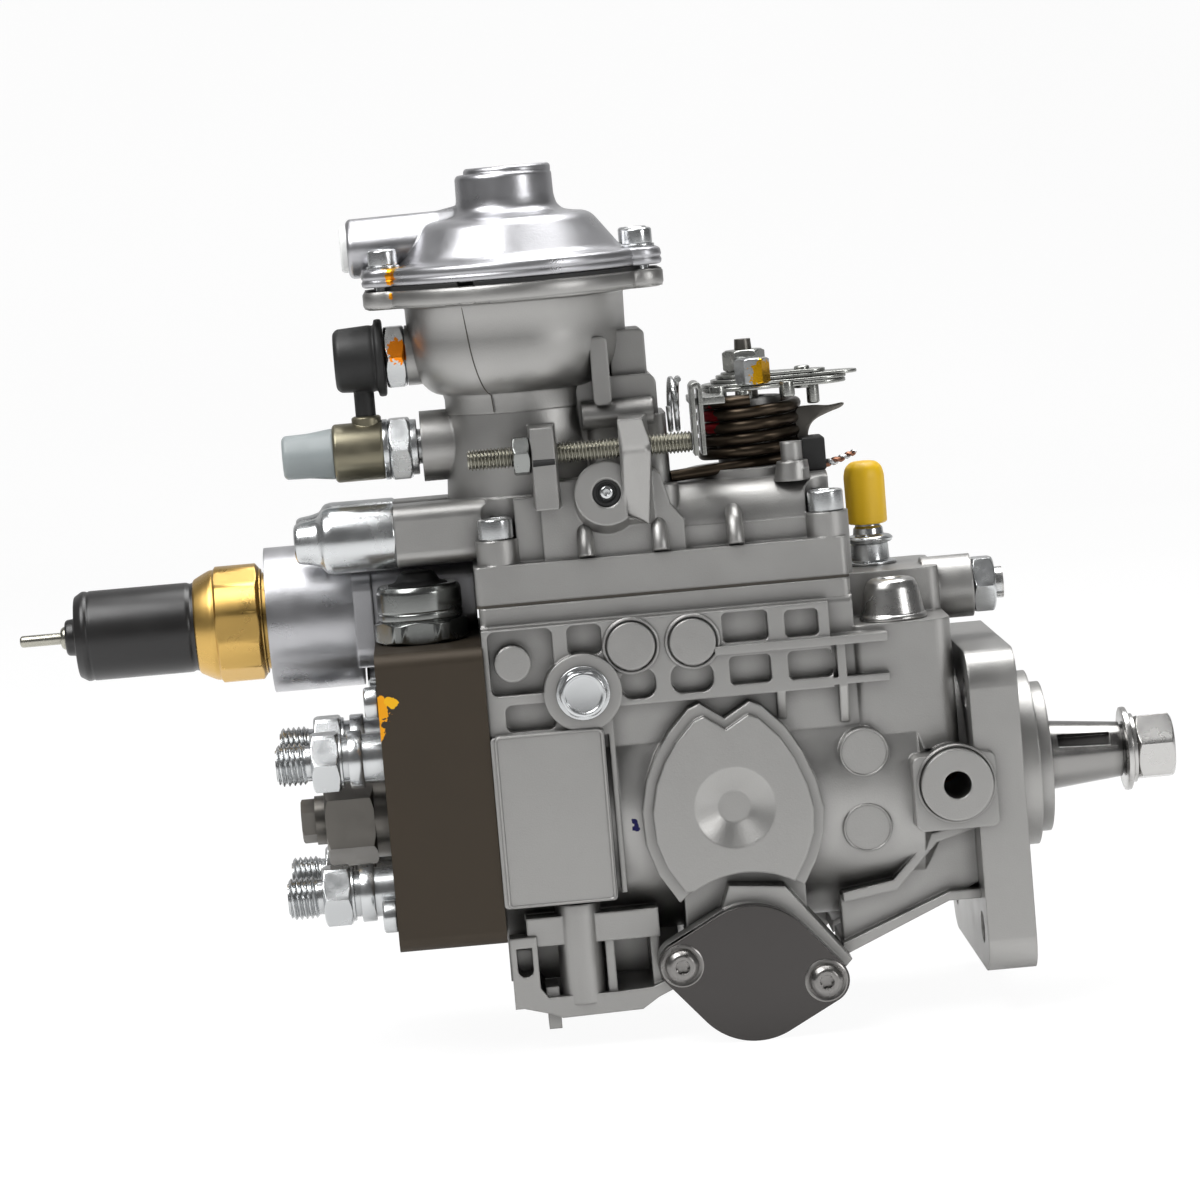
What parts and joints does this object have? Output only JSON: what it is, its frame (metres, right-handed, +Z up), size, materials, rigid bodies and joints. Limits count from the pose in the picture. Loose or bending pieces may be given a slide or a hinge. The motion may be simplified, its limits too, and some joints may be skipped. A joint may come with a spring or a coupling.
{
  "type": "diesel injection pump",
  "caption": "Distributor diesel injection pump with mounting flange, tapered drive shaft, governor cover, boost compensator, cold-start unit and rear fuel outlets.",
  "frame": {"origin": "centre of the mounting flange's face, on the drive-shaft axis", "axes": "+X along the drive shaft towards its nut, +Z up towards the boost compensator, so -X points to the distributor head and the outlets"},
  "size_m": [0.3275, 0.1012, 0.246],
  "materials": {
    "cast_aluminium": "die-cast, lightly blasted",
    "head_steel": "phosphated, brown-olive",
    "bright_steel": "ground or turned",
    "zinc_steel": "zinc plated",
    "spring_steel": "oil-hardened spring wire",
    "brass": "turned",
    "bronze": "bored",
    "black_rubber": "moulded",
    "yellow_plastic": "moulded"
  },
  "bodies": {
    "housing": {"pump_housing": "cast_aluminium", "governor_cover": "cast_aluminium", "seals": "black_rubber", "distributor_head": "head_steel", "timing_covers": "bright_steel", "shaft_bush": "bronze", "supply_ring": "bright_steel", "governor_shaft": "bright_steel", "valve_holders": "zinc_steel", "centre_plug": "zinc_steel", "barrel": "bright_steel", "plunger_springs": "spring_steel", "screw_set": "zinc_steel", "adjusting_screws": "zinc_steel", "boost_cap": "cast_aluminium", "solenoid_body": "zinc_steel", "cold_start_housing": "cast_aluminium", "cold_start_element": "brass", "hose_fittings": "zinc_steel", "inlet_dust_cap": "yellow_plastic", "elbow_fitting": "black_rubber", "pressure_valve_body": "bright_steel", "stop_lever_pin": "bright_steel", "diaphragm": "black_rubber", "boost_spring": "spring_steel", "timing_spring": "spring_steel", "governor_spring": "spring_steel", "return_spring": "spring_steel", "valve_springs": "spring_steel"},
    "shaft": {"drive_shaft": "bright_steel", "shaft_nut": "zinc_steel", "drive_gear": "bright_steel", "pump_rotor": "bright_steel"},
    "pumping_element": {"cam_plate": "bright_steel", "cross_disc": "bright_steel", "plunger": "bright_steel"},
    "roller_ring": {"roller_ring": "bright_steel"},
    "roller_1": {"roller_1": "bright_steel"},
    "roller_2": {"roller_2": "bright_steel"},
    "roller_3": {"roller_3": "bright_steel"},
    "roller_4": {"roller_4": "bright_steel"},
    "timing_piston": {"timing_piston": "bright_steel"},
    "slide_block": {"slide_block": "bright_steel"},
    "governor": {"governor_gear": "bright_steel"},
    "flyweight_1": {"flyweight_1": "bright_steel"},
    "flyweight_2": {"flyweight_2": "bright_steel"},
    "flyweight_3": {"flyweight_3": "bright_steel"},
    "flyweight_4": {"flyweight_4": "bright_steel"},
    "governor_sleeve": {"governor_sleeve": "bright_steel"},
    "governor_lever": {"governor_lever": "bright_steel"},
    "spill_collar": {"spill_collar": "bright_steel"},
    "throttle": {"throttle_shaft": "bright_steel", "throttle_lever": "zinc_steel", "lever_bracket": "zinc_steel"},
    "boost_rod": {"boost_rod": "bright_steel"},
    "feeler_pin": {"feeler_pin": "bright_steel"},
    "stop_lever": {"stop_lever": "bright_steel"},
    "armature": {"armature": "bright_steel"},
    "pressure_piston": {"pressure_piston": "bright_steel"},
    "delivery_valves": {"delivery_valves": "bright_steel"}
  },
  "joints": [
    {"name": "shaft_spin", "type": "hinge", "parent": "housing", "child": "shaft", "pos_m": [0, 0, 0], "axis": [1, 0, 0], "continuous": true},
    {"name": "pumping_spin", "type": "hinge", "parent": "housing", "child": "pumping_element", "pos_m": [-0.09, 0, 0], "axis": [1, 0, 0], "continuous": true},
    {"name": "timing_slide", "type": "slide", "parent": "housing", "child": "timing_piston", "axis": [0, 1, 0], "range_m": [0, 0.008], "stiffness_N_per_m": 3000, "springref_m": -0.004, "deforming": ["timing_spring"]},
    {"name": "ring_turn", "type": "hinge", "parent": "housing", "child": "roller_ring", "pos_m": [-0.0805, 0, 0], "axis": [1, 0, 0], "range_deg": [0, 9.86]},
    {"name": "block_turn", "type": "hinge", "parent": "timing_piston", "child": "slide_block", "pos_m": [-0.0793, 0, -0.0465], "axis": [1, 0, 0], "range_deg": [0, 9.86]},
    {"name": "roller_1_spin", "type": "hinge", "parent": "roller_ring", "child": "roller_1", "pos_m": [-0.0805, -0.01768, 0.01768], "axis": [0, -0.7071, 0.7071], "continuous": true},
    {"name": "roller_2_spin", "type": "hinge", "parent": "roller_ring", "child": "roller_2", "pos_m": [-0.0805, -0.01768, -0.01768], "axis": [0, -0.7071, -0.7071], "continuous": true},
    {"name": "roller_3_spin", "type": "hinge", "parent": "roller_ring", "child": "roller_3", "pos_m": [-0.0805, 0.01768, -0.01768], "axis": [0, 0.7071, -0.7071], "continuous": true},
    {"name": "roller_4_spin", "type": "hinge", "parent": "roller_ring", "child": "roller_4", "pos_m": [-0.0805, 0.01768, 0.01768], "axis": [0, 0.7071, 0.7071], "continuous": true},
    {"name": "governor_spin", "type": "hinge", "parent": "housing", "child": "governor", "pos_m": [-0.054, 0, 0.051], "axis": [1, 0, 0], "continuous": true},
    {"name": "flyweight_1_swing", "type": "hinge", "parent": "governor", "child": "flyweight_1", "pos_m": [-0.064, -0.01061, 0.06161], "axis": [0, 0.7071, 0.7071], "range_deg": [0, 24.02]},
    {"name": "flyweight_2_swing", "type": "hinge", "parent": "governor", "child": "flyweight_2", "pos_m": [-0.064, -0.01061, 0.04039], "axis": [0, -0.7071, 0.7071], "range_deg": [0, 24.02]},
    {"name": "flyweight_3_swing", "type": "hinge", "parent": "governor", "child": "flyweight_3", "pos_m": [-0.064, 0.01061, 0.04039], "axis": [0, -0.7071, -0.7071], "range_deg": [0, 24.02]},
    {"name": "flyweight_4_swing", "type": "hinge", "parent": "governor", "child": "flyweight_4", "pos_m": [-0.064, 0.01061, 0.06161], "axis": [0, 0.7071, -0.7071], "range_deg": [0, 24.02]},
    {"name": "sleeve_slide", "type": "slide", "parent": "housing", "child": "governor_sleeve", "axis": [-1, 0, 0], "range_m": [0, 0.0035], "stiffness_N_per_m": 4000, "springref_m": -0.004},
    {"name": "lever_turn", "type": "hinge", "parent": "housing", "child": "governor_lever", "pos_m": [-0.1198, 0, 0.0348], "axis": [0, -1, 0], "range_deg": [0, 12.38]},
    {"name": "collar_slide", "type": "slide", "parent": "housing", "child": "spill_collar", "axis": [1, 0, 0], "range_m": [0, 0.00504]},
    {"name": "throttle_turn", "type": "hinge", "parent": "housing", "child": "throttle", "pos_m": [-0.0654, 0, 0.1], "axis": [0, 0, 1], "range_deg": [0, 50], "stiffness_Nm_per_rad": 0.4, "springref_deg": -34.38, "deforming": ["return_spring", "governor_spring"]},
    {"name": "boost_slide", "type": "slide", "parent": "housing", "child": "boost_rod", "axis": [0, 0, -1], "range_m": [0, 0.006], "stiffness_N_per_m": 3000, "springref_m": -0.004, "deforming": ["boost_spring", "diaphragm"]},
    {"name": "feeler_slide", "type": "slide", "parent": "housing", "child": "feeler_pin", "axis": [-1, 0, 0], "range_m": [0, 0.000801]},
    {"name": "stop_turn", "type": "hinge", "parent": "housing", "child": "stop_lever", "pos_m": [-0.106, 0, 0.101], "axis": [0, -1, 0], "range_deg": [0, 3.82]},
    {"name": "armature_slide", "type": "slide", "parent": "housing", "child": "armature", "axis": [0, 0, 1], "range_m": [0, 0.002], "stiffness_N_per_m": 1500, "springref_m": -0.004},
    {"name": "pressure_slide", "type": "slide", "parent": "housing", "child": "pressure_piston", "axis": [0, 0, 1], "range_m": [0, 0.003], "stiffness_N_per_m": 1500, "springref_m": -0.004},
    {"name": "delivery_slide", "type": "slide", "parent": "housing", "child": "delivery_valves", "axis": [-1, 0, 0], "range_m": [0, 0.002], "stiffness_N_per_m": 1500, "springref_m": -0.004, "deforming": ["valve_springs"]}
  ],
  "couplings": [
    {"joint": "pumping_spin", "follows": "shaft_spin", "ratio": 1},
    {"joint": "governor_spin", "follows": "shaft_spin", "ratio": -1.4286},
    {"joint": "roller_1_spin", "follows": "shaft_spin", "ratio": 4.4909},
    {"joint": "roller_2_spin", "follows": "shaft_spin", "ratio": 4.4909},
    {"joint": "roller_3_spin", "follows": "shaft_spin", "ratio": 4.4909},
    {"joint": "roller_4_spin", "follows": "shaft_spin", "ratio": 4.4909},
    {"joint": "ring_turn", "follows": "timing_slide", "rad_per_m": 21.505},
    {"joint": "block_turn", "follows": "timing_slide", "rad_per_m": 21.505},
    {"joint": "flyweight_1_swing", "follows": "sleeve_slide", "rad_per_m": 119.76},
    {"joint": "flyweight_2_swing", "follows": "sleeve_slide", "rad_per_m": 119.76},
    {"joint": "flyweight_3_swing", "follows": "sleeve_slide", "rad_per_m": 119.76},
    {"joint": "flyweight_4_swing", "follows": "sleeve_slide", "rad_per_m": 119.76},
    {"joint": "lever_turn", "follows": "sleeve_slide", "rad_per_m": 61.728},
    {"joint": "collar_slide", "follows": "sleeve_slide", "ratio": 1.4383},
    {"joint": "feeler_slide", "follows": "boost_slide", "ratio": 0.13333},
    {"joint": "stop_turn", "follows": "boost_slide", "rad_per_m": 11.111}
  ]
}
